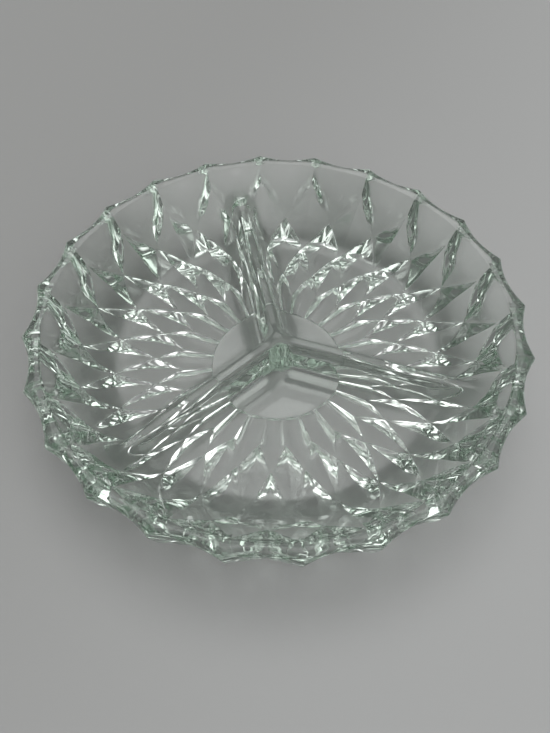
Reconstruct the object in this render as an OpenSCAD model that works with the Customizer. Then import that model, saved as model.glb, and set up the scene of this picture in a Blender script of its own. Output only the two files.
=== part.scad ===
// Round pressed-glass relish dish with three compartments, in millimetres, standing on Z = 0.
// The outside carries staggered rings of hollow diamonds that run out into a pointed rim.
// The inside is smooth, and three low dividers part it.

/* [Dish] */
// Radius of the circle through the rim points
rim_point_r = 125; // [122:1:132]
// Height of the rim above the table
dish_h = 42; // [40:1:48]
// Diamonds in each ring of the pattern
diamonds = 24; // [12:12:36]
// Rounding of the rim's two edges
rim_round = 1.5; // [0.5:0.1:2]

/* [Outside] */
// Radius of the disc that the dish stands on
base_r = 34.6; // [30:0.2:40]
// Height of the pattern above the table
pattern_z = 0.6; // [0.4:0.1:2]
// Run from the standing disc to the first ring of diamond points
ring_1_run = 15.4; // [12:0.2:19]
// Run from the first ring to the second
ring_2_run = 14.6; // [11:0.2:18]
// Run from the second ring to the third
ring_3_run = 21.6; // [18:0.2:25]
// Run from the third ring to the fourth
ring_4_run = 22.8; // [19:0.2:26]
// Run from the fourth ring to the fifth
ring_5_run = 11.4; // [8:0.2:15]
// Run from the fifth ring to the rim points
rim_run = 4.6; // [3:0.1:8]
// Run of the outer wall, from where its line would meet the floor's line to the rim points
outer_wall_run = 12.5; // [9:0.5:20]
// Radius of the outer bend from floor to wall
outer_bend_r = 30; // [20:1:36]
// Depth of the petals beside the standing disc
base_scoop = 1.8; // [0.6:0.1:2.4]
// Depth of the petals at the first ring
ring_1_scoop = 3.6; // [2:0.1:4.4]
// Depth of the diamonds centred on the second ring
ring_2_scoop = 5.4; // [3:0.1:6.4]
// Depth of the diamonds centred on the third ring
ring_3_scoop = 6.6; // [3:0.1:7.4]
// Depth of the diamonds centred on the fourth ring
ring_4_scoop = 8; // [4:0.1:10]
// Depth of the flutes at the fifth ring
ring_5_scoop = 6.5; // [4:0.1:8]
// Depth of the flutes between the rim points
rim_scoop = 4; // [2:0.1:5]

/* [Inside] */
// Height of the compartment floors above the table
floor_z = 9; // [7:0.1:10]
// Width of the rim at its points
rim_w = 9; // [8:0.5:12]
// Run of the inner wall, from where its line would meet the floor's line to the rim's inner edge
inner_wall_run = 27; // [24:0.5:30]
// Radius of the inner bend from floor to wall
inner_bend_r = 22; // [14:1:26]

/* [Dividers] */
// Height of the dividers' tops above the table
divider_z = 28; // [22:0.5:32]
// Width of a divider's top
divider_top_w = 6; // [5:0.1:8]
// Draft of a divider's sides, in degrees
divider_draft = 13; // [8:0.5:16]
// Rounding of a divider's top edges
divider_round = 2; // [1:0.1:2.4]
// Radius of the fillet at a divider's foot
divider_fillet = 5; // [3:0.5:8]
// Thickness of the foot at its outer edge
divider_lip = 0.3; // [0.2:0.1:0.6]
// Reach of the hub along each divider
hub_reach = 16; // [14:0.5:22]
// Clearance between a divider's end and the wall
divider_gap = 0.05; // [0.05:0.01:0.2]

/* [Facets] */
// Flat steps across half a diamond
half_steps = 2; // [2:1:4]
// Flat steps round each bend and fillet
bend_steps = 6; // [4:1:10]

/* [Hidden] */
$fn = 96;

glass = [0.80, 0.86, 0.83, 0.55];
thick_glass = [0.66, 0.76, 0.71, 0.7];

// Three compartments, with a divider at the start of each
compartments = 3;
sector_angle = 360 / compartments;
rear_angle = 90;
left_angle = rear_angle + sector_angle;
right_angle = left_angle + sector_angle;

// The pattern has a column coordinate u, in half diamonds round the dish, and a row coordinate v.
// A diamond point lies wherever both are whole and u + v is even.
half_diamond = 180 / diamonds;
column_step = 1 / half_steps;
base_edge_r = base_r / cos(half_diamond * column_step / 2);
row_runs = [ring_1_run, ring_2_run, ring_3_run, ring_4_run, ring_5_run, rim_run];
rim_row = len(row_runs);
first_ring_row = 1;
second_ring_row = 2;
last_ring_row = rim_row - 1;
floor_edge_row = second_ring_row + floor(half_steps / 2) * column_step;
rim_cut_row = rim_row - column_step;

// The rows keep the proportions of their runs between the standing disc and the rim points
function run_to(row) = row == 0 ? 0 : run_to(row - 1) + row_runs[row - 1];
row_r = [for (i = [0 : rim_row]) base_edge_r + (rim_point_r - base_edge_r) * run_to(i) / run_to(rim_row)];

// Depths of the hollows as pairs of row and depth, for the rows that they are centred on.
// Flutes and petals are centred on even columns, and the other diamonds on odd columns.
even_depths = [
    [0, base_scoop], [first_ring_row, ring_1_scoop], [3, ring_3_scoop],
    [last_ring_row, ring_5_scoop], [rim_row, rim_scoop]
];
odd_depths = [[second_ring_row, ring_2_scoop], [4, ring_4_scoop]];
// Curve across the even hollows as pairs of row and power: a crease has 1 and a round flute has 2
even_powers = [[0, 1.6], [first_ring_row, 1.3], [3, 1.1], [last_ring_row, 2]];

// Places that follow the rim
outer_top_z = dish_h - rim_round;
outer_corner_r = rim_point_r - outer_wall_run;
inner_rim_r = rim_point_r - rim_w;
inner_corner_r = inner_rim_r - inner_wall_run;

function clamp(x, low, high) = min(max(x, low), high);
function nearest_even(x) = 2 * round(x / 2);
function nearest_odd(x) = 2 * floor(x / 2) + 1;

// A floor line and a sloping wall line joined by a tangent bend
function wall_slope(level, corner_r, top_r, top_z) = atan2(top_z - level, top_r - corner_r);
function bend_start(corner_r, bend_r, slope) = corner_r - bend_r * tan(slope / 2);
function bend_end(corner_r, bend_r, slope) = corner_r + bend_r * tan(slope / 2) * cos(slope);
function profile_z(r, level, corner_r, top_r, top_z, bend_r) =
    let (
        slope = wall_slope(level, corner_r, top_r, top_z),
        start = bend_start(corner_r, bend_r, slope)
    )
    r <= start ? level :
    r < bend_end(corner_r, bend_r, slope) ? level + bend_r - sqrt(pow(bend_r, 2) - pow(r - start, 2)) :
    top_z - (top_r - r) * tan(slope);

// Outside: radius of a row, as a smooth curve through the rings
function row_slope(i) =
    let (
        before = max(i - 1, 0),
        after = min(i + 1, rim_row)
    )
    (row_r[after] - row_r[before]) / (after - before);
function row_radius(v) =
    let (
        i = clamp(floor(v), 0, rim_row - 1),
        t = v - i
    )
    row_r[i] * (1 + 2 * t) * pow(1 - t, 2) + row_slope(i) * t * pow(1 - t, 2)
    + row_r[i + 1] * pow(t, 2) * (3 - 2 * t) + row_slope(i + 1) * pow(t, 2) * (t - 1);
function outer_z(r) = profile_z(r, pattern_z, outer_corner_r, rim_point_r, outer_top_z, outer_bend_r);

// Depth of the pattern: 0 at a diamond point and deepest in the middle of a hollow
function sink(u, v) =
    let (
        row = clamp(v, first_ring_row, last_ring_row),
        across = abs(u - nearest_even(u)),
        along = abs(row - nearest_odd(row)),
        even_share = 1 - pow(across, lookup(v, even_powers)) - pow(along, 2),
        odd_share = across - pow(1 - along, 2)
    )
    max(lookup(v, even_depths) * even_share, lookup(v, odd_depths) * odd_share);

// The hollows sink at right angles to the outer profile and turn to level at the rim
outer_slope = wall_slope(pattern_z, outer_corner_r, rim_point_r, outer_top_z);
outer_bend_start = bend_start(outer_corner_r, outer_bend_r, outer_slope);
function outer_turn(r) = asin(clamp((r - outer_bend_start) / outer_bend_r, 0, sin(outer_slope)));
function hollow_tilt(v) =
    let (turn = outer_turn(row_radius(v)))
    turn + (90 - turn) * clamp(v - last_ring_row, 0, 1);
function outer_point(u, v) =
    let (
        r = row_radius(v),
        depth = sink(u, v),
        tilt = hollow_tilt(v)
    )
    [r - depth * sin(tilt), outer_z(r) + depth * cos(tilt)];

// Inside: the smooth profile from the floor up to the rim's inner edge
inner_slope = wall_slope(floor_z, inner_corner_r, inner_rim_r, dish_h);
inner_bend_start = bend_start(inner_corner_r, inner_bend_r, inner_slope);
inner_top_r = inner_rim_r - rim_round / tan(inner_slope);
inner_cut_r = inner_rim_r - (dish_h - outer_z(row_radius(rim_cut_row))) / tan(inner_slope);
function inner_bend_point(angle) =
    [inner_bend_start + inner_bend_r * sin(angle), floor_z + inner_bend_r * (1 - cos(angle))];
function inner_z(r) = profile_z(r, floor_z, inner_corner_r, inner_rim_r, dish_h, inner_bend_r);
inner_bend = [for (i = [0 : bend_steps]) inner_bend_point(inner_slope * i / bend_steps)];
inner_cut = [inner_cut_r, inner_z(inner_cut_r)];
inner_top = [inner_top_r, inner_z(inner_top_r)];

function reversed(list) = [for (i = [len(list) - 1 : -1 : 0]) list[i]];

// Outer points of one section, from row low to row high
function outer_rows(low, high) = [for (i = [0 : round((high - low) * half_steps)]) low + i * column_step];
function outer_points(u, low, high) = [for (v = outer_rows(low, high)) outer_point(u, v)];

// Sections of the three kinds of segment at column u, each a closed loop from its lowest outer point
function floor_section(u) =
    concat(outer_points(u, 0, floor_edge_row), [inner_bend[0], [base_edge_r, floor_z]]);
function wall_section(u) =
    concat(outer_points(u, floor_edge_row, rim_cut_row), [inner_cut], reversed(inner_bend));
function rim_section(u) =
    let (edge = outer_point(u, rim_row))
    concat(
        outer_points(u, rim_cut_row, rim_row),
        [[edge[0] - rim_round, dish_h], [inner_rim_r + rim_round, dish_h], inner_top, inner_cut]
    );

// Whether a small face at column step i and row step k is split along the rising diagonal, as the ridges run
function rises(column, row) = (floor(column) + floor(row)) % 2 == 0;

// One compartment's share of the floor, wall or rim: its sections side by side as one closed solid.
// rows holds the rows of the section's outer points.
module segment(start_angle, sections, rows) {
    first_column = start_angle / half_diamond;
    columns = len(sections) - 1;
    size = len(sections[0]);
    last_outer = len(rows) - 1;
    points = [
        for (i = [0 : columns])
            let (angle = (first_column + i * column_step) * half_diamond)
                for (p = sections[i]) [p[0] * cos(angle), p[0] * sin(angle), p[1]]
    ];
    sides = [
        for (i = [0 : columns - 1], k = [0 : size - 1])
            let (
                a = i * size + k,
                b = i * size + (k + 1) % size,
                c = (i + 1) * size + (k + 1) % size,
                d = (i + 1) * size + k,
                column = first_column + (i + 0.5) * column_step,
                along = k < last_outer ? rises(column, (rows[k] + rows[k + 1]) / 2) : k < size - 1
            )
            each along ? [[a, b, c], [a, c, d]] : [[a, b, d], [b, c, d]]
    ];
    ends = [
        [for (k = [size - 1 : -1 : 0]) k],
        [for (k = [0 : size - 1]) columns * size + k]
    ];
    polyhedron(points = points, faces = concat(sides, ends), convexity = 6);
}

// Columns of one compartment, from the divider at start_angle to the next
function sector_columns(start_angle) =
    let (last = round(sector_angle / half_diamond * half_steps))
    [for (i = [0 : last]) start_angle / half_diamond + i * column_step];

module floor_segment(start_angle) {
    color(glass)
        segment(start_angle, [for (u = sector_columns(start_angle)) floor_section(u)],
            outer_rows(0, floor_edge_row));
}

module wall_segment(start_angle) {
    color(glass)
        segment(start_angle, [for (u = sector_columns(start_angle)) wall_section(u)],
            outer_rows(floor_edge_row, rim_cut_row));
}

module rim_segment(start_angle) {
    color(thick_glass)
        segment(start_angle, [for (u = sector_columns(start_angle)) rim_section(u)],
            outer_rows(rim_cut_row, rim_row));
}

// The space inside the dish, with the clearance taken off its wall
module cavity() {
    outline = [for (p = concat(inner_bend, [[inner_rim_r, dish_h]])) [p[0] - divider_gap, p[1]]];
    rotate_extrude() polygon(concat([[0, floor_z]], outline, [[0, dish_h]]));
}

// Right half of a divider's section: foot, fillet, drafted side and rounded top edge
fillet_turn = 90 - divider_draft;
round_centre = [divider_top_w / 2 - divider_round, divider_z - divider_round];
side_top = round_centre + divider_round * [cos(divider_draft), sin(divider_draft)];
function side_w(z) = side_top[0] + (side_top[1] - z) * tan(divider_draft);
fillet_base_z = floor_z + divider_lip;
fillet_centre = [
    side_w(fillet_base_z + divider_fillet) + divider_fillet / cos(divider_draft),
    fillet_base_z + divider_fillet
];
fillet_points = [
    for (i = [0 : bend_steps])
        let (angle = 270 - fillet_turn * i / bend_steps)
            fillet_centre + divider_fillet * [cos(angle), sin(angle)]
];
round_points = [
    for (i = [0 : bend_steps])
        let (angle = divider_draft + fillet_turn * i / bend_steps)
            round_centre + divider_round * [cos(angle), sin(angle)]
];
half_section = concat([[fillet_centre[0], floor_z]], fillet_points, round_points);

module divider_outline() {
    polygon(concat(half_section, [for (p = reversed(half_section)) [-p[0], p[1]]]));
}

// A straight run of divider along +X, from one distance to another
module divider_run(from, to) {
    translate([from, 0, 0])
        rotate([90, 0, 90])
            linear_extrude(to - from) divider_outline();
}

module divider(angle) {
    color(thick_glass)
        intersection() {
            rotate([0, 0, angle]) divider_run(hub_reach, rim_point_r);
            cavity();
        }
}

// The standing disc, under the hub and up to the compartment floors
module base_disc() {
    color(thick_glass) cylinder(h = floor_z, r = base_r);
}

module floor_left() { floor_segment(rear_angle); }
module floor_front() { floor_segment(left_angle); }
module floor_right() { floor_segment(right_angle); }

module wall_left() { wall_segment(rear_angle); }
module wall_front() { wall_segment(left_angle); }
module wall_right() { wall_segment(right_angle); }

module rim_left() { rim_segment(rear_angle); }
module rim_front() { rim_segment(left_angle); }
module rim_right() { rim_segment(right_angle); }

module divider_rear() { divider(rear_angle); }
module divider_left() { divider(left_angle); }
module divider_right() { divider(right_angle); }

// The three dividers' inner ends, joined over the standing disc
module divider_hub() {
    color(thick_glass)
        for (angle = [rear_angle, left_angle, right_angle])
            rotate([0, 0, angle]) divider_run(0, hub_reach);
}

base_disc();
floor_left();
floor_front();
floor_right();
wall_left();
wall_front();
wall_right();
rim_left();
rim_front();
rim_right();
divider_rear();
divider_left();
divider_right();
divider_hub();
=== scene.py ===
"""A round relish dish of clear pressed glass, with three compartments, on a pale grey sheet.

The outside carries staggered rings of hollow diamonds that run out into a pointed rim.
The inside is smooth, and three low dividers part it. Sizes are in millimetres until a
mesh is made, because that is how such a dish is drawn.
"""
import logging
import math
from dataclasses import dataclass, field
from enum import Enum

import bmesh
import bpy
import numpy as np
from mathutils import Matrix, Vector
from mathutils.geometry import delaunay_2d_cdt


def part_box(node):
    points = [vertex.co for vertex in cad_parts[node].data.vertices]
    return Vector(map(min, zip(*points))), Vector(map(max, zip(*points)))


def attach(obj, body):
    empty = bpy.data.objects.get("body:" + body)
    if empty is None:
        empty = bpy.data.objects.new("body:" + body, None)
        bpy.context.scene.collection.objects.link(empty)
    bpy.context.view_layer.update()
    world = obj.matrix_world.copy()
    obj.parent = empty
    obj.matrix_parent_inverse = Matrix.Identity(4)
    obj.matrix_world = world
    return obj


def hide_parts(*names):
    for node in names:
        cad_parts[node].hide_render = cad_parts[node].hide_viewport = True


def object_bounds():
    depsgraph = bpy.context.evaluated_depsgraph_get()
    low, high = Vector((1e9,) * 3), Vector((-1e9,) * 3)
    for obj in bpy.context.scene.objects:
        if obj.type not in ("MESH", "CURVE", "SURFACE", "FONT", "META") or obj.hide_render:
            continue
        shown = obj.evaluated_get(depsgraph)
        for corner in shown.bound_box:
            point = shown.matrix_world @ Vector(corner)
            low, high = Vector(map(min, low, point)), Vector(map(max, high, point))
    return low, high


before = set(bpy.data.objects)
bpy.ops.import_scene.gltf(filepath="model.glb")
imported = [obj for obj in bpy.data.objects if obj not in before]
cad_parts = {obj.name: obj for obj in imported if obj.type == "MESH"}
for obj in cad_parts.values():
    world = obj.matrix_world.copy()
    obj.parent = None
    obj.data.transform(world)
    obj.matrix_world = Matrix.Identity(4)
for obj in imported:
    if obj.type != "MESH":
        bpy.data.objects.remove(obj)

LOG = logging.getLogger("relish_dish")
MM = 0.001
CAD_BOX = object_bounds()

# Distance by which the rim points stay inside the CAD box
BOX_CLEARANCE = 0.02

# Inside of the dish: where floor and wall would meet, top of the wall, and bend between them
BOWL_CORNER_R = 89.0
BOWL_TOP_R = 116.0
BOWL_BEND_R = 22.0

# Settings of the triangulation: triangles inside the given lines, and points that count as one
INSIDE_LINES = 1
SAME_PLACE = 1e-5

# Distance in metres within which the inner surface and the rim are joined
JOIN_DISTANCE = 1e-6

Socket = bpy.types.NodeSocket


def math_node(tree: bpy.types.NodeTree, operation: str, *values: Socket | float) -> Socket:
    """Adds a Math node.

    Args:
        tree: nodes to add it to.
        operation: what it works out.
        values: sockets to link to its inputs, or numbers to set there.

    Returns:
        The result.
    """
    node = tree.nodes.new("ShaderNodeMath")
    node.operation = operation
    for socket, value in zip(node.inputs, values):
        if isinstance(value, Socket):
            tree.links.new(value, socket)
        else:
            socket.default_value = value
    return node.outputs["Value"]


def smooth_range(tree: bpy.types.NodeTree, value: Socket, start: float, stop: float,
                 first: float, last: float) -> Socket:
    """Adds a Map Range node that passes smoothly from one number to another.

    Args:
        tree: nodes to add it to.
        value: the value that decides.
        start: value at which the passage starts.
        stop: value at which it ends.
        first: result up to the start.
        last: result from the end on.

    Returns:
        The result.
    """
    node = tree.nodes.new("ShaderNodeMapRange")
    node.interpolation_type = "SMOOTHSTEP"
    node.inputs["From Min"].default_value = start
    node.inputs["From Max"].default_value = stop
    node.inputs["To Min"].default_value = first
    node.inputs["To Max"].default_value = last
    tree.links.new(value, node.inputs["Value"])
    return node.outputs["Result"]


class DividerAngle(Enum):
    """Direction of each divider from the hub, in degrees from +X."""

    REAR = 90.0
    LEFT = 210.0
    RIGHT = 330.0

    @property
    def turn(self) -> float:
        """The direction in radians."""
        return math.radians(self.value)

    @property
    def axis(self) -> np.ndarray:
        """Unit vector along the divider."""
        return np.array([math.cos(self.turn), math.sin(self.turn)])

    @property
    def side(self) -> np.ndarray:
        """Unit vector across the divider."""
        return np.array([-math.sin(self.turn), math.cos(self.turn)])


@dataclass(frozen=True)
class Profile:
    """A level floor line and a sloping wall line, joined by a tangent bend.

    Attributes:
        level: height of the floor line.
        corner_r: radius at which the two lines would meet.
        top_r: radius of the wall line at its top.
        top_z: height of the wall line at its top.
        bend_r: radius of the bend.
    """

    level: float
    corner_r: float
    top_r: float
    top_z: float
    bend_r: float

    @property
    def slope(self) -> float:
        """Angle of the wall line above level, in radians."""
        return math.atan2(self.top_z - self.level, self.top_r - self.corner_r)

    @property
    def start(self) -> float:
        """Radius at which the bend begins."""
        return self.corner_r - self.bend_r * math.tan(self.slope / 2)

    @property
    def end(self) -> float:
        """Radius at which the bend ends."""
        return self.corner_r + self.bend_r * math.tan(self.slope / 2) * math.cos(self.slope)

    def height(self, radius: np.ndarray) -> np.ndarray:
        """Height of the profile.

        Args:
            radius: distances from the dish's axis.

        Returns:
            The heights there.
        """
        along = np.clip(radius - self.start, 0.0, self.end - self.start)
        bend = self.level + self.bend_r - np.sqrt(self.bend_r ** 2 - along ** 2)
        wall = self.top_z - (self.top_r - radius) * math.tan(self.slope)
        return np.where(radius < self.end, bend, wall)

    def lean(self, radius: np.ndarray) -> np.ndarray:
        """Cosine of the profile's angle above level.

        Args:
            radius: distances from the dish's axis.

        Returns:
            The cosines there.
        """
        along = np.clip(radius - self.start, 0.0, self.end - self.start)
        return np.sqrt(1.0 - (along / self.bend_r) ** 2)


@dataclass
class DiamondPattern:
    """The outside of the dish: rings of hollow diamonds between the standing disc and the rim.

    A column coordinate u counts half diamonds round the dish and a row coordinate v counts
    rings, so that a diamond point lies wherever both are whole and their sum is even.

    Attributes:
        rim_point_r: radius at which the pattern ends in a rim point.
        base_r: radius of the standing disc.
        top_z: height at which the pattern ends.
        diamonds: number of diamonds round the dish.
        ring_r: radii of the rings of diamond points between disc and rim.
        pattern_z: height of the diamond points over the table, next to the disc.
        corner_r: radius at which the outside's floor and wall would meet.
        bend_r: radius of the bend between them.
        flute_depths: depth of the hollows that have their middles in odd rows, row by row.
        flute_powers: how these hollows curve across, row by row.
        mitre_depths: depth of the hollows that have their middles in even rows, row by row.
        mitre_powers: how these hollows curve along, row by row.
        crease_power: how these hollows curve across.
        ridge_round: rounding of the ridges where two hollows meet.
    """

    rim_point_r: float
    base_r: float
    top_z: float
    diamonds: int = 24
    ring_r: tuple[float, ...] = (50.0, 64.6, 86.2, 109.0, 120.4)
    pattern_z: float = 0.6
    corner_r: float = 112.5
    bend_r: float = 30.0
    flute_depths: tuple[float, ...] = (1.8, 3.6, 5.1, 6.6, 6.6, 6.5, 4.0)
    flute_powers: tuple[float, ...] = (1.6, 1.3, 1.1, 1.1, 1.2, 2.0, 2.0)
    mitre_depths: tuple[float, ...] = (4.6, 5.0, 5.4, 6.7, 8.0, 10.0, 10.0)
    mitre_powers: tuple[float, ...] = (2.0, 2.0, 2.0, 2.0, 1.4, 1.35, 1.35)
    crease_power: float = 1.05
    ridge_round: float = 0.2

    def __post_init__(self) -> None:
        """Works out the rows' radii and the profile under them."""
        self.row_r = np.array([self.base_r, *self.ring_r, self.rim_point_r])
        self.rim_row = len(self.row_r) - 1
        self.profile = Profile(self.pattern_z, self.corner_r, self.rim_point_r, self.top_z, self.bend_r)
        inner_slopes = (self.row_r[2:] - self.row_r[:-2]) / 2
        first = self.row_r[1] - self.row_r[0]
        last = self.row_r[-1] - self.row_r[-2]
        self.row_slope = np.concatenate([[first], inner_slopes, [last]])

    def row_radius(self, v: np.ndarray) -> np.ndarray:
        """Radius of a row, as a smooth curve through the rings.

        Args:
            v: row coordinates.

        Returns:
            The radii of those rows.
        """
        i = np.clip(np.floor(v).astype(int), 0, self.rim_row - 1)
        t = v - i
        low = self.row_r[i] * (1 + 2 * t) * (1 - t) ** 2 + self.row_slope[i] * t * (1 - t) ** 2
        high = self.row_r[i + 1] * t ** 2 * (3 - 2 * t) + self.row_slope[i + 1] * t ** 2 * (t - 1)
        return low + high

    def sink(self, u: np.ndarray, v: np.ndarray) -> np.ndarray:
        """Depth of the pattern: 0 at a diamond point and deepest in a diamond's middle.

        Args:
            u: column coordinates.
            v: row coordinates.

        Returns:
            The depths there, with the ridges between hollows slightly rounded.
        """
        rows = np.arange(len(self.row_r))
        inside = np.clip(v, 1, self.rim_row - 1)
        across = np.abs(u - 2 * np.round(u / 2))
        along = np.abs(inside - 1 - 2 * np.round((inside - 1) / 2))
        flute = 1 - across ** np.interp(v, rows, self.flute_powers) - along ** 2
        rise = (1 - along) ** np.interp(v, rows, self.mitre_powers)
        mitre = 1 - (1 - across) ** self.crease_power - rise
        flute *= np.interp(v, rows, self.flute_depths)
        mitre *= np.interp(v, rows, self.mitre_depths)
        return (flute + mitre + np.hypot(flute - mitre, self.ridge_round) - self.ridge_round) / 2

    def points(self, u: np.ndarray, v: np.ndarray) -> tuple[np.ndarray, np.ndarray]:
        """Radius and height of the patterned surface.

        Args:
            u: column coordinates.
            v: row coordinates.

        Returns:
            The radii and the heights there.
        """
        radius = self.row_radius(v)
        sink = self.sink(u, v)
        turn = np.arccos(np.clip(self.profile.lean(radius), 0, 1))
        tilt = turn + (math.pi / 2 - turn) * np.clip(v - self.rim_row + 1, 0, 1)
        return radius - sink * np.sin(tilt), self.profile.height(radius) + sink * np.cos(tilt)


@dataclass
class Dividers:
    """The three dividers and the hub where they meet.

    Attributes:
        top_z: height of their tops.
        top_w: width of their tops, measured to where the edges would be without rounding.
        draft: angle of their sides from upright, in radians.
        edge_round: radius of their top edges.
        foot_fillet: radius of the fillets at their feet.
        hub_fillet: radius of the fillets between them at the hub.
    """

    top_z: float
    top_w: float = 6.0
    draft: float = math.radians(13.0)
    edge_round: float = 2.0
    foot_fillet: float = 9.0
    hub_fillet: float = 5.0

    def side_distance(self, x: np.ndarray, y: np.ndarray, z: np.ndarray, angle: float) -> np.ndarray:
        """Distance outside one divider, negative inside it.

        Args:
            x: places across the dish.
            y: places along the dish.
            z: heights.
            angle: direction of the divider, in radians.

        Returns:
            The distances.
        """
        along = x * math.cos(angle) + y * math.sin(angle)
        across = y * math.cos(angle) - x * math.sin(angle)
        reach = np.hypot(across, np.minimum(along, 0.0))
        half = self.top_w / 2 + (self.top_z - z) * math.tan(self.draft)
        side = (reach - half) * math.cos(self.draft)
        over = z - self.top_z
        a = side + self.edge_round
        b = over + self.edge_round
        rounded = np.hypot(np.maximum(a, 0), np.maximum(b, 0)) + np.minimum(np.maximum(a, b), 0)
        return rounded - self.edge_round

    def distance(self, x: np.ndarray, y: np.ndarray, z: np.ndarray) -> np.ndarray:
        """Distance outside the three dividers, with fillets where they meet at the hub.

        Args:
            x: places across the dish.
            y: places along the dish.
            z: heights.

        Returns:
            The distances.
        """
        parts = [self.side_distance(x, y, z, divider.turn) for divider in DividerAngle]
        return filleted(parts, self.hub_fillet)


def filleted(distances: list[np.ndarray], radius: float) -> np.ndarray:
    """Nearest of several distances, with a round fillet in the corners between them.

    Args:
        distances: distances outside several solids.
        radius: radius of the fillet.

    Returns:
        The distance outside their filleted union.
    """
    inside = [np.maximum(radius - d, 0) for d in distances]
    nearest = np.minimum.reduce(distances)
    return np.maximum(nearest, radius) - np.sqrt(sum(d ** 2 for d in inside))


@dataclass
class Inside:
    """The smooth inside of the dish with its dividers, as a height over each place.

    Attributes:
        bowl: profile of the floor and the wall.
        dividers: the dividers on it.
        steps: number of halvings that find a height.
        below: how far under the floor the search for a height begins.
    """

    bowl: Profile
    dividers: Dividers
    steps: int = 44
    below: float = 1.0

    def heights(self, x: np.ndarray, y: np.ndarray) -> np.ndarray:
        """Height of the inner surface, found by halving.

        Args:
            x: places across the dish.
            y: places along the dish.

        Returns:
            The heights there.
        """
        radius = np.hypot(x, y)
        floor = self.bowl.height(radius)
        lean = self.bowl.lean(radius)
        low = floor - self.below
        high = np.maximum(floor, self.dividers.top_z) + 2 * self.dividers.foot_fillet
        for _ in range(self.steps):
            middle = (low + high) / 2
            out = self.dividers.distance(x, y, middle)
            free = filleted([(middle - floor) * lean, out], self.dividers.foot_fillet)
            low = np.where(free < 0, middle, low)
            high = np.where(free < 0, high, middle)
        return (low + high) / 2


@dataclass(frozen=True)
class InsideGrid:
    """Where the inner surface is sampled: rows along the dividers, and rings between them.

    Attributes:
        row_offsets: distances of the rows from a divider's middle, on each side.
        row_step: distance between the points of a row.
        gap: distance that rows and rings keep from each other and from the rim.
        first_ring_r: radius of the smallest ring.
        floor_step: distance between rings on the floor.
        bend_step: distance between rings in the bend.
        wall_step: distance between rings on the wall.
        wall_gap: distance that the rings on the wall keep from the rim.
        fine_from_r: radius beyond which a ring has more points.
        coarse_points: number of points in a ring up to that radius.
        fine_points: number of points in a ring beyond it.
        rim_reach: distance from the rim within which a point belongs to it.
    """

    row_offsets: tuple[float, ...] = (0.0, 0.6, 1.1, 1.5, 1.9, 2.3, 2.6, 2.9, 3.2, 3.6, 4.1, 4.7,
                                      5.3, 5.9, 6.4, 6.9, 7.4, 8.0, 8.7, 9.4, 10.2, 11.0, 12.0, 13.5)
    row_step: float = 1.5
    gap: float = 1.0
    first_ring_r: float = 6.0
    floor_step: float = 4.0
    bend_step: float = 1.2
    wall_step: float = 2.0
    wall_gap: float = 1.5
    fine_from_r: float = 40.0
    coarse_points: int = 120
    fine_points: int = 288
    rim_reach: float = 0.001

    def row(self, divider: DividerAngle, offset: float, edge_r: float) -> np.ndarray:
        """Points of one row beside a divider, from the row of the next divider to the rim.

        Args:
            divider: the divider.
            offset: distance of the row from the divider's middle.
            edge_r: radius at which the inner surface meets the rim.

        Returns:
            The points.
        """
        start = abs(offset) / math.tan(math.pi / len(DividerAngle))
        stop = math.sqrt((edge_r - self.gap) ** 2 - offset ** 2)
        number = max(2, round((stop - start) / self.row_step))
        along = np.linspace(start, stop, number + 1)
        return along[:, None] * divider.axis + offset * divider.side

    def rows(self, edge_r: float) -> list[np.ndarray]:
        """Rows of points along all dividers.

        Args:
            edge_r: radius at which the inner surface meets the rim.

        Returns:
            The rows.
        """
        offsets = np.array(self.row_offsets)
        both_sides = (*-offsets[:0:-1], *offsets)
        return [self.row(divider, offset, edge_r) for divider in DividerAngle for offset in both_sides]

    def rings(self, bowl: Profile, edge_r: float) -> list[np.ndarray]:
        """Rings of points on the floor, bend and wall, left out where the rows are.

        Args:
            bowl: profile of the floor and the wall.
            edge_r: radius at which the inner surface meets the rim.

        Returns:
            The rings.
        """
        radii = [*np.arange(self.first_ring_r, bowl.start - self.gap, self.floor_step),
                 *np.arange(bowl.start, bowl.end + self.gap, self.bend_step),
                 *np.arange(bowl.end + self.wall_step, edge_r - self.wall_gap, self.wall_step)]
        clear = self.row_offsets[-1] + self.gap
        rings = []
        for radius in radii:
            number = self.fine_points if radius > self.fine_from_r else self.coarse_points
            turn = np.arange(number) * 2 * math.pi / number
            ring = radius * np.stack([np.cos(turn), np.sin(turn)], axis=1)
            keep = np.ones(number, bool)
            for divider in DividerAngle:
                keep &= (np.abs(ring @ divider.side) > clear) | (ring @ divider.axis < 0)
            rings.append(ring[keep])
        return rings


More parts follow.
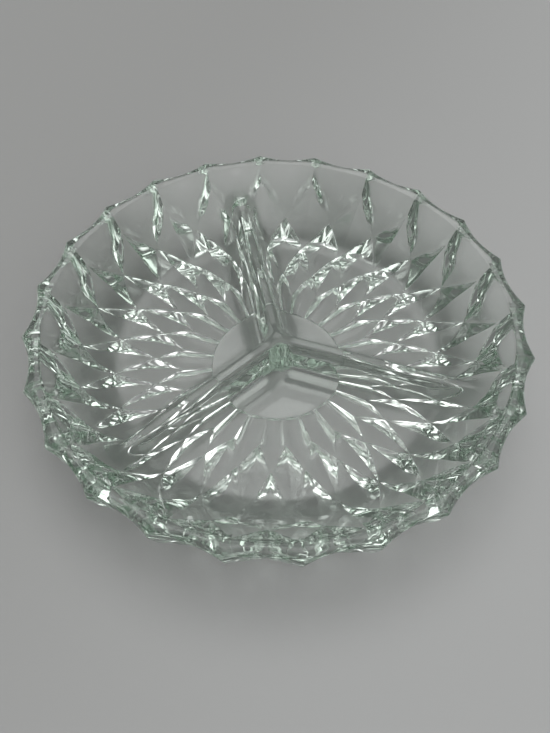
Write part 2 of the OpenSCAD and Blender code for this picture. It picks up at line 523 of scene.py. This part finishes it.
@dataclass
class GlassDish:
    """The dish as one closed pressing that stands for all the members of the frame.

    Attributes:
        pattern: the patterned outside.
        inside: the smooth inside.
        dish_h: height of the dish.
        base_r: radius of the standing disc.
        rim_round: radius of the rim's edges.
        rim_crown: height of the crown on the rim's top.
        edge_start: angle on the rim's outer edge at which the pattern ends, in radians.
        edge_rings: number of rings over the rim's outer edge.
        inner_rings: number of rings over the rim's inner edge.
        crown_shares: shares of the rim's width at which the crown has a ring.
        base_round: radius of the standing disc's lower edge.
        base_hollow: depth of the hollow under the standing disc.
        hollow_power: how flat that hollow is in its middle.
        hollow_shares: shares of the disc's radius at which the hollow has a ring.
        base_rings_round: number of rings over the disc's lower edge.
        steps: number of small faces along and across half a diamond.
        crisp_angle: angle from which an edge is left sharp, in radians.
        grid: where the inner surface is sampled.
        piece: the finished piece.
    """

    pattern: DiamondPattern
    inside: Inside
    dish_h: float
    base_r: float
    rim_round: float = 2.6
    rim_crown: float = 0.45
    edge_start: float = math.radians(-18.0)
    edge_rings: int = 8
    inner_rings: int = 6
    crown_shares: tuple[float, ...] = (0.2, 0.4, 0.6, 0.8)
    base_round: float = 0.4
    base_hollow: float = 0.25
    hollow_power: int = 4
    hollow_shares: tuple[float, ...] = (0.04, 0.25, 0.5, 0.7, 0.85, 0.94)
    base_rings_round: int = 5
    steps: int = 12
    crisp_angle: float = math.radians(18.0)
    grid: InsideGrid = InsideGrid()
    piece: bpy.types.Object | None = field(default=None, init=False)

    @property
    def columns(self) -> int:
        """Number of columns of small faces round the dish."""
        return 2 * self.pattern.diamonds * self.steps

    def ring(self, radius: np.ndarray | float, height: np.ndarray | float) -> np.ndarray:
        """One ring of points round the dish.

        Args:
            radius: radius of the ring, or one for each column.
            height: height of the ring, or one for each column.

        Returns:
            The ring's points.
        """
        turn = np.arange(self.columns) * 2 * math.pi / self.columns
        radius = np.broadcast_to(radius, turn.shape)
        height = np.broadcast_to(height, turn.shape)
        return np.stack([radius * np.cos(turn), radius * np.sin(turn), height], axis=1)

    def base_rings(self) -> list[np.ndarray]:
        """Rings of the standing disc, from near its middle out and up its edge.

        Returns:
            The rings.
        """
        rings = []
        flat_r = self.base_r - self.base_round
        for share in self.hollow_shares:
            rings.append(self.ring(flat_r * share, self.base_hollow * (1 - share ** self.hollow_power)))
        for angle in np.linspace(-math.pi / 2, 0, self.base_rings_round):
            rings.append(self.ring(flat_r + self.base_round * math.cos(angle),
                                   self.base_round * (1 + math.sin(angle))))
        return rings

    def pattern_rings(self) -> list[np.ndarray]:
        """Rings of the patterned outside, from the standing disc to the rim.

        Returns:
            The rings.
        """
        u = np.arange(self.columns) / self.steps
        rows = np.linspace(0, self.pattern.rim_row, self.pattern.rim_row * self.steps + 1)
        return [self.ring(*self.pattern.points(u, np.full_like(u, v))) for v in rows]

    def rim_rings(self, edge_r: np.ndarray) -> list[np.ndarray]:
        """Rings over the rounded rim, from its pointed edge to its inner edge.

        Args:
            edge_r: radius of the pattern's last ring, one for each column.

        Returns:
            The rings, the last of which begins the inner wall.
        """
        rings = []
        lean = self.pattern.profile.slope - math.pi / 2
        top_z = self.dish_h - self.rim_crown
        low_z = top_z - self.rim_round
        for angle in np.linspace(lean, math.pi / 2, self.edge_rings)[1:]:
            shift = self.rim_round * (math.cos(angle) - math.cos(lean))
            rings.append(self.ring(edge_r + shift, low_z + self.rim_round * math.sin(angle)))
        outer_r = edge_r - self.rim_round * math.cos(lean)
        bowl = self.inside.bowl
        turned_in = self.rim_round * math.tan(bowl.slope / 2)
        inner_r = bowl.top_r + turned_in - self.rim_crown / math.tan(bowl.slope)
        widths = outer_r - inner_r
        for share in self.crown_shares:
            crown = self.rim_crown * widths / widths.max() * 4 * share * (1 - share)
            rings.append(self.ring(outer_r - widths * share, top_z + crown))
        for angle in np.linspace(math.pi / 2, math.pi / 2 + bowl.slope, self.inner_rings):
            rings.append(self.ring(inner_r + self.rim_round * math.cos(angle),
                                   low_z + self.rim_round * math.sin(angle)))
        return rings

    def outside_faces(self, rings: int, first_row: int, last_row: int) -> np.ndarray:
        """Triangles between neighbouring rings, split along the ridges where the pattern has them.

        Args:
            rings: number of rings.
            first_row: number of the pattern's first ring.
            last_row: number of the pattern's last ring.

        Returns:
            Three point numbers for each triangle.
        """
        k, i = np.meshgrid(np.arange(rings - 1), np.arange(self.columns), indexing="ij")
        a = k * self.columns + i
        d = k * self.columns + (i + 1) % self.columns
        b = a + self.columns
        c = d + self.columns
        rises = (i // self.steps + (k - first_row) // self.steps) % 2 == 0
        rises &= (k >= first_row) & (k < last_row)
        one = np.where(rises[..., None], np.stack([a, d, c], -1), np.stack([a, d, b], -1))
        two = np.where(rises[..., None], np.stack([a, c, b], -1), np.stack([d, c, b], -1))
        return np.concatenate([one.reshape(-1, 3), two.reshape(-1, 3)])

    def outside_surface(self) -> tuple[np.ndarray, np.ndarray, np.ndarray]:
        """The outside, from the middle of the standing disc to the rim's inner edge.

        Returns:
            The points, three point numbers for each triangle, and the rim's last ring.
        """
        base = self.base_rings()
        pattern = self.pattern_rings()
        rim = self.rim_rings(np.hypot(pattern[-1][:, 0], pattern[-1][:, 1]))
        rings = base + pattern + rim
        faces = self.outside_faces(len(rings), len(base), len(base) + len(pattern) - 1)
        points = np.concatenate(rings)
        turn = np.arange(self.columns)
        middle = np.full_like(turn, len(points))
        fan = np.stack([middle, (turn + 1) % self.columns, turn], axis=1)
        points = np.concatenate([points, [[0.0, 0.0, self.base_hollow]]])
        return points, np.concatenate([faces, fan]), rim[-1]

    def inside_surface(self, last: np.ndarray) -> tuple[np.ndarray, np.ndarray]:
        """The inside, with its dividers.

        Args:
            last: the rim's last ring.

        Returns:
            The points, and three point numbers for each triangle.
        """
        edge_r = float(np.hypot(last[0, 0], last[0, 1]))
        rim = self.ring(edge_r, 0.0)[:, :2]
        places = list(rim)
        lines = [(i, (i + 1) % len(rim)) for i in range(len(rim))]
        for row in self.grid.rows(edge_r):
            first = len(places)
            places.extend(row)
            lines += [(first + i, first + i + 1) for i in range(len(row) - 1)]
        for ring in self.grid.rings(self.inside.bowl, edge_r):
            places.extend(ring)
        flat = [Vector(place) for place in places]
        verts, _, cells, *_ = delaunay_2d_cdt(flat, lines, [], INSIDE_LINES, SAME_PLACE)
        x, y = np.array(verts).T
        height = self.inside.heights(x, y)
        at_rim = np.hypot(x, y) > edge_r - self.grid.rim_reach
        return np.column_stack([x, y, np.where(at_rim, last[0, 2], height)]), np.array(cells)

    def build(self) -> bpy.types.Object:
        """Makes the closed mesh of the dish.

        Returns:
            The dish.
        """
        outside, outside_faces, last = self.outside_surface()
        inside, inside_faces = self.inside_surface(last)
        points = np.concatenate([outside, inside]) * MM
        triangles = np.concatenate([outside_faces, inside_faces + len(outside)])
        mesh = bpy.data.meshes.new("dish_glass")
        mesh.from_pydata(points.tolist(), [], triangles.tolist())
        shape = bmesh.new()
        shape.from_mesh(mesh)
        bmesh.ops.remove_doubles(shape, verts=shape.verts, dist=JOIN_DISTANCE)
        bmesh.ops.recalc_face_normals(shape, faces=shape.faces)
        LOG.info("open edges: %d", sum(not edge.is_manifold for edge in shape.edges))
        shape.to_mesh(mesh)
        shape.free()
        mesh.polygons.foreach_set("use_smooth", [True] * len(mesh.polygons))
        mesh.set_sharp_from_angle(angle=self.crisp_angle)
        self.piece = bpy.data.objects.new("dish_glass", mesh)
        bpy.context.scene.collection.objects.link(self.piece)
        return self.piece

    def dress(self, material: bpy.types.Material) -> None:
        """Gives the dish its finish and sets it in the frame.

        Args:
            material: the finish.
        """
        self.piece.data.materials.append(material)
        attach(self.piece, "root")
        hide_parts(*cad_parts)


@dataclass(frozen=True)
class PressedGlass:
    """Clear soda-lime glass, faintly green where it is thick, with the ripple of a pressing.

    Attributes:
        tint: colour that each crossing of the surface gives the light.
        ior: how strongly it bends light.
        roughness: roughness of its surface.
        absorption: colour that is left of the light inside it.
        density: how quickly it takes up the rest, for each metre.
        ripple_scale: fineness of the ripple.
        ripple_height: height of the ripple, in metres.
        noise_detail: how finely the ripple and the drawn lines are broken.
        streak_scale: fineness of the drawn lines along, across and over a divider.
        streak_height: height of the drawn lines, as a share of the ripple's height.
        streak_half_width: distance from a divider's middle up to which the lines are full,
            and at which they have faded out, in metres.
    """

    tint: tuple[float, float, float] = (0.982, 1.0, 0.985)
    ior: float = 1.52
    roughness: float = 0.012
    absorption: tuple[float, float, float] = (0.38, 0.53, 0.42)
    density: float = 10.0
    ripple_scale: float = 30.0
    ripple_height: float = 0.0001
    noise_detail: float = 2.0
    streak_scale: tuple[float, float, float] = (14.0, 420.0, 420.0)
    streak_height: float = 0.8
    streak_half_width: tuple[float, float] = (0.007, 0.013)

    def streaks(self, tree: bpy.types.NodeTree, place: Socket) -> Socket:
        """Fine lines along each divider, drawn there as the plunger lifts out.

        Args:
            tree: nodes of the material.
            place: the place on the dish.

        Returns:
            Height of the lines, as a share of the ripple's height.
        """
        nodes = tree.nodes
        rear = DividerAngle.REAR.turn
        third = 2 * math.pi / len(DividerAngle)
        axes = nodes.new("ShaderNodeSeparateXYZ")
        tree.links.new(place, axes.inputs["Vector"])
        turn = math_node(tree, "ARCTAN2", axes.outputs["Y"], axes.outputs["X"])
        shifted = math_node(tree, "SUBTRACT", turn, rear - third / 2)
        nearest = math_node(tree, "SNAP", shifted, third)
        back = math_node(tree, "MULTIPLY_ADD", nearest, -1.0, -rear)
        along = nodes.new("ShaderNodeVectorRotate")
        along.rotation_type = "Z_AXIS"
        tree.links.new(place, along.inputs["Vector"])
        tree.links.new(back, along.inputs["Angle"])
        drawn = nodes.new("ShaderNodeVectorMath")
        drawn.operation = "MULTIPLY"
        drawn.inputs[1].default_value = self.streak_scale
        tree.links.new(along.outputs["Vector"], drawn.inputs[0])
        lines = nodes.new("ShaderNodeTexNoise")
        lines.inputs["Scale"].default_value = 1.0
        lines.inputs["Detail"].default_value = self.noise_detail
        tree.links.new(drawn.outputs["Vector"], lines.inputs["Vector"])
        parts = nodes.new("ShaderNodeSeparateXYZ")
        tree.links.new(along.outputs["Vector"], parts.inputs["Vector"])
        across = math_node(tree, "ABSOLUTE", parts.outputs["Y"])
        near = smooth_range(tree, across, *self.streak_half_width, self.streak_height, 0.0)
        return math_node(tree, "MULTIPLY", lines.outputs["Fac"], near)

    def material(self) -> bpy.types.Material:
        """Makes the material.

        Returns:
            The material.
        """
        material = bpy.data.materials.new("pressed_glass")
        material.use_nodes = True
        tree = material.node_tree
        shader = tree.nodes["Principled BSDF"]
        shader.inputs["Base Color"].default_value = (*self.tint, 1.0)
        shader.inputs["Transmission Weight"].default_value = 1.0
        shader.inputs["IOR"].default_value = self.ior
        shader.inputs["Roughness"].default_value = self.roughness
        place = tree.nodes.new("ShaderNodeTexCoord").outputs["Object"]
        ripple = tree.nodes.new("ShaderNodeTexNoise")
        ripple.inputs["Scale"].default_value = self.ripple_scale
        ripple.inputs["Detail"].default_value = self.noise_detail
        tree.links.new(place, ripple.inputs["Vector"])
        surface = math_node(tree, "ADD", ripple.outputs["Fac"], self.streaks(tree, place))
        bump = tree.nodes.new("ShaderNodeBump")
        bump.inputs["Strength"].default_value = 1.0
        bump.inputs["Distance"].default_value = self.ripple_height
        tree.links.new(surface, bump.inputs["Height"])
        tree.links.new(bump.outputs["Normal"], shader.inputs["Normal"])
        absorb = tree.nodes.new("ShaderNodeVolumeAbsorption")
        absorb.inputs["Color"].default_value = (*self.absorption, 1.0)
        absorb.inputs["Density"].default_value = self.density
        tree.links.new(absorb.outputs["Volume"], tree.nodes["Material Output"].inputs["Volume"])
        return material


@dataclass(frozen=True)
class GreySheet:
    """Smooth, pale grey paper with a fine fibre, with painted light: a little lighter towards the right
    and the front, where more of the room's light falls.

    Attributes:
        left: colour at the far left, painted darker where less of the room's light falls.
        right: colour at the near right, painted lighter where more of the room's light falls.
        painted_light_towards: direction in which the painted light grows.
        half_run: distance from the dish at which those colours are reached, in metres.
        roughness: roughness of its surface.
        fibre_scale: fineness of the fibre.
        fibre_detail: how finely the fibre is broken.
        fibre_height: height of the fibre, in metres.
    """

    left: tuple[float, float, float] = (0.331, 0.334, 0.328)
    right: tuple[float, float, float] = (0.42, 0.426, 0.422)
    painted_light_towards: tuple[float, float, float] = (0.8, -0.6, 0.0)
    half_run: float = 0.2
    roughness: float = 0.8
    fibre_scale: float = 900.0
    fibre_detail: float = 3.0
    fibre_height: float = 0.00004

    def material(self) -> bpy.types.Material:
        """Makes the material.

        Returns:
            The material.
        """
        material = bpy.data.materials.new("grey_sheet")
        material.use_nodes = True
        tree = material.node_tree
        shader = tree.nodes["Principled BSDF"]
        shader.inputs["Roughness"].default_value = self.roughness
        place = tree.nodes.new("ShaderNodeTexCoord").outputs["Object"]
        along = tree.nodes.new("ShaderNodeVectorMath")
        along.operation = "DOT_PRODUCT"
        along.inputs[1].default_value = self.painted_light_towards
        tree.links.new(place, along.inputs[0])
        # Painted light: the colour passes from the darker far left to the lighter near right, standing
        # in for the falloff of the room's light.
        share = smooth_range(tree, along.outputs["Value"], -self.half_run, self.half_run, 0.0, 1.0)
        painted_falloff = tree.nodes.new("ShaderNodeMix")
        painted_falloff.data_type = "RGBA"
        painted_falloff.inputs["A"].default_value = (*self.left, 1.0)
        painted_falloff.inputs["B"].default_value = (*self.right, 1.0)
        tree.links.new(share, painted_falloff.inputs["Factor"])
        tree.links.new(painted_falloff.outputs["Result"], shader.inputs["Base Color"])
        fibre = tree.nodes.new("ShaderNodeTexNoise")
        fibre.inputs["Scale"].default_value = self.fibre_scale
        fibre.inputs["Detail"].default_value = self.fibre_detail
        tree.links.new(place, fibre.inputs["Vector"])
        bump = tree.nodes.new("ShaderNodeBump")
        bump.inputs["Distance"].default_value = self.fibre_height
        tree.links.new(fibre.outputs["Fac"], bump.inputs["Height"])
        tree.links.new(bump.outputs["Normal"], shader.inputs["Normal"])
        return material


@dataclass(frozen=True)
class Glow:
    """A soft light far off in the room, bright in its middle and fading out all round.

    Attributes:
        azimuth: direction from the dish, in degrees from +X.
        elevation: height over the table, in degrees.
        full: angle from its middle up to which it is fully bright, in degrees.
        faded: angle from its middle at which it has faded out, in degrees.
        strength: brightness of its middle.
    """

    azimuth: float
    elevation: float
    full: float
    faded: float
    strength: float

    def direction(self) -> tuple[float, float, float]:
        """Direction of the light.

        Returns:
            Unit vector towards its middle.
        """
        turn = math.radians(self.azimuth)
        rise = math.radians(self.elevation)
        return math.cos(turn) * math.cos(rise), math.sin(turn) * math.cos(rise), math.sin(rise)

    def add(self, tree: bpy.types.NodeTree, view: Socket, below: Socket | float) -> Socket:
        """Adds the light to the room's brightness.

        Args:
            tree: nodes of the world.
            view: the direction looked in.
            below: brightness of the room so far.

        Returns:
            Brightness of the room with this light.
        """
        angle = tree.nodes.new("ShaderNodeVectorMath")
        angle.operation = "DOT_PRODUCT"
        angle.inputs[1].default_value = self.direction()
        tree.links.new(view, angle.inputs[0])
        outer = math.cos(math.radians(self.faded))
        inner = math.cos(math.radians(self.full))
        fade = smooth_range(tree, angle.outputs["Value"], outer, inner, 0.0, self.strength)
        return math_node(tree, "ADD", below, fade)


@dataclass
class Studio:
    """The sheet under the dish and the soft light of the room.

    Attributes:
        sheet_half: half the sheet's width, in metres.
        sheet_gap: distance of the sheet under the dish, in metres.
        backdrop_tone: brightness of the pale band over the horizon.
        backdrop_full: height over the horizon up to which the band is full, in radians.
        backdrop_faded: height over the horizon at which it has faded out, in radians.
        dimmest: brightness of the room away from its lights.
        glows: the lights.
    """

    sheet_half: float = 40.0
    sheet_gap: float = 0.00002
    backdrop_tone: float = 0.28
    backdrop_full: float = math.radians(10.0)
    backdrop_faded: float = math.radians(17.0)
    dimmest: float = 0.18
    glows: tuple[Glow, ...] = (
        Glow(290.0, 50.0, 12.0, 46.0, 1.62),
        Glow(80.0, 69.0, 6.0, 29.0, 2.5),
        Glow(26.0, 57.0, 10.0, 20.0, 0.45),
        Glow(132.0, 57.0, 10.0, 20.0, 0.25),
    )

    def backdrop(self, tree: bpy.types.NodeTree, view: Socket) -> Socket:
        """Pale band over the horizon, for what the camera sees directly, mirrored or through glass.

        Args:
            tree: nodes of the world.
            view: the direction looked in.

        Returns:
            Brightness of the band.
        """
        axes = tree.nodes.new("ShaderNodeSeparateXYZ")
        tree.links.new(view, axes.inputs["Vector"])
        full = math.sin(self.backdrop_full)
        faded = math.sin(self.backdrop_faded)
        band = smooth_range(tree, axes.outputs["Z"], full, faded, self.backdrop_tone, 0.0)
        rays = tree.nodes.new("ShaderNodeLightPath")
        seen = rays.outputs["Is Camera Ray"]
        for kind in ("Is Glossy Ray", "Is Transmission Ray"):
            seen = math_node(tree, "MAXIMUM", seen, rays.outputs[kind])
        return math_node(tree, "MULTIPLY", band, seen)

    def lay_sheet(self) -> None:
        """Makes the sheet."""
        mesh = bpy.data.meshes.new("grey_sheet")
        half = self.sheet_half
        corners = [(-half, -half, 0), (half, -half, 0), (half, half, 0), (-half, half, 0)]
        mesh.from_pydata(corners, [], [(0, 1, 2, 3)])
        mesh.materials.append(GreySheet().material())
        sheet = bpy.data.objects.new("grey_sheet", mesh)
        sheet.location.z = -self.sheet_gap
        bpy.context.scene.collection.objects.link(sheet)

    def light_room(self) -> None:
        """Makes the world with its soft lights."""
        world = bpy.data.worlds.new("room")
        world.use_nodes = True
        tree = world.node_tree
        view = tree.nodes.new("ShaderNodeTexCoord").outputs["Generated"]
        total: Socket | float = self.dimmest
        for glow in self.glows:
            total = glow.add(tree, view, total)
        brightest = math_node(tree, "MAXIMUM", total, self.backdrop(tree, view))
        background = tree.nodes["Background"]
        background.inputs["Color"].default_value = (1.0, 1.0, 1.0, 1.0)
        tree.links.new(brightest, background.inputs["Strength"])
        bpy.context.scene.world = world


@dataclass(frozen=True)
class PhotoCamera:
    """The camera of the photograph, as fitted to the rim points.

    Attributes:
        frame_px: width and height of the picture.
        focal_px: focal length in pixels.
        azimuth: turn of the camera round the dish, in radians from the front.
        elevation: height of the camera over the table, in radians.
        roll: turn of the picture, in radians.
        distance: distance of the camera from its target, in metres.
        aim_px: pixel at which the target shows.
        sensor: longer side of the sensor, in millimetres.
    """

    frame_px: tuple[int, int] = (550, 733)
    focal_px: float = 758.5
    azimuth: float = math.radians(-12.85)
    elevation: float = math.radians(50.86)
    roll: float = math.radians(0.643)
    distance: float = 0.3735
    aim_px: tuple[float, float] = (277.24, 318.56)
    sensor: float = 36.0

    def build(self, target: Vector) -> None:
        """Makes the camera so that the target shows at the aimed pixel.

        Args:
            target: the middle of the rim, in metres.
        """
        level = Vector((math.sin(self.azimuth), -math.cos(self.azimuth), 0.0))
        back = level * math.cos(self.elevation) + Vector((0, 0, math.sin(self.elevation)))
        forward = -back
        right = Vector((math.cos(self.azimuth), math.sin(self.azimuth), 0.0))
        up = right.cross(forward)
        yaw = math.atan((self.aim_px[0] - self.frame_px[0] / 2) / self.focal_px)
        pitch = math.atan((self.aim_px[1] - self.frame_px[1] / 2) / self.focal_px)
        turned = right * math.cos(yaw) + forward * math.sin(yaw)
        ahead = forward * math.cos(yaw) - right * math.sin(yaw)
        raised = up * math.cos(pitch) - ahead * math.sin(pitch)
        ahead = up * math.sin(pitch) + ahead * math.cos(pitch)
        across = turned * math.cos(self.roll) + raised * math.sin(self.roll)
        above = raised * math.cos(self.roll) - turned * math.sin(self.roll)
        data = bpy.data.cameras.new("photo_camera")
        data.sensor_width = self.sensor
        data.lens = self.focal_px / max(self.frame_px) * self.sensor
        camera = bpy.data.objects.new("photo_camera", data)
        turn = Matrix((across, above, -ahead)).transposed()
        camera.matrix_world = Matrix.Translation(target + back * self.distance) @ turn.to_4x4()
        bpy.context.scene.collection.objects.link(camera)
        bpy.context.scene.camera = camera


def dish_from_frame() -> GlassDish:
    """Sizes the dish by the frame's box, standing disc and dividers.

    Returns:
        The dish, not built yet.
    """
    dish_h = CAD_BOX[1][2] / MM
    base_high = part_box("base_disc")[1]
    base_r = base_high[0] / MM
    floor_z = base_high[2] / MM
    divider_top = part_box("divider_rear")[1][2] / MM
    rim_point_r = CAD_BOX[1][0] / MM / math.cos(math.pi / DiamondPattern.diamonds) - BOX_CLEARANCE
    rim_round = GlassDish.rim_round
    edge_start = GlassDish.edge_start
    pattern = DiamondPattern(rim_point_r - rim_round * (1 - math.cos(edge_start)), base_r,
                             dish_h - GlassDish.rim_crown - rim_round * (1 - math.sin(edge_start)))
    bowl = Profile(floor_z, BOWL_CORNER_R, BOWL_TOP_R, dish_h, BOWL_BEND_R)
    return GlassDish(pattern, Inside(bowl, Dividers(divider_top)), dish_h, base_r)


def main() -> None:
    """Builds the dish, its stage and its camera."""
    logging.basicConfig(level=logging.INFO, format="%(name)s: %(message)s")
    scene = bpy.context.scene
    scene.view_settings.view_transform = "Standard"
    scene.cycles.max_bounces = 32
    scene.cycles.glossy_bounces = 16
    scene.cycles.transmission_bounces = 32
    dish = dish_from_frame()
    PhotoCamera().build(Vector((0, 0, dish.dish_h * MM)))
    piece = dish.build()
    dish.dress(PressedGlass().material())
    LOG.info("%s: %d faces", piece.name, len(piece.data.polygons))
    studio = Studio()
    studio.lay_sheet()
    studio.light_room()


if __name__ == "__main__":
    main()
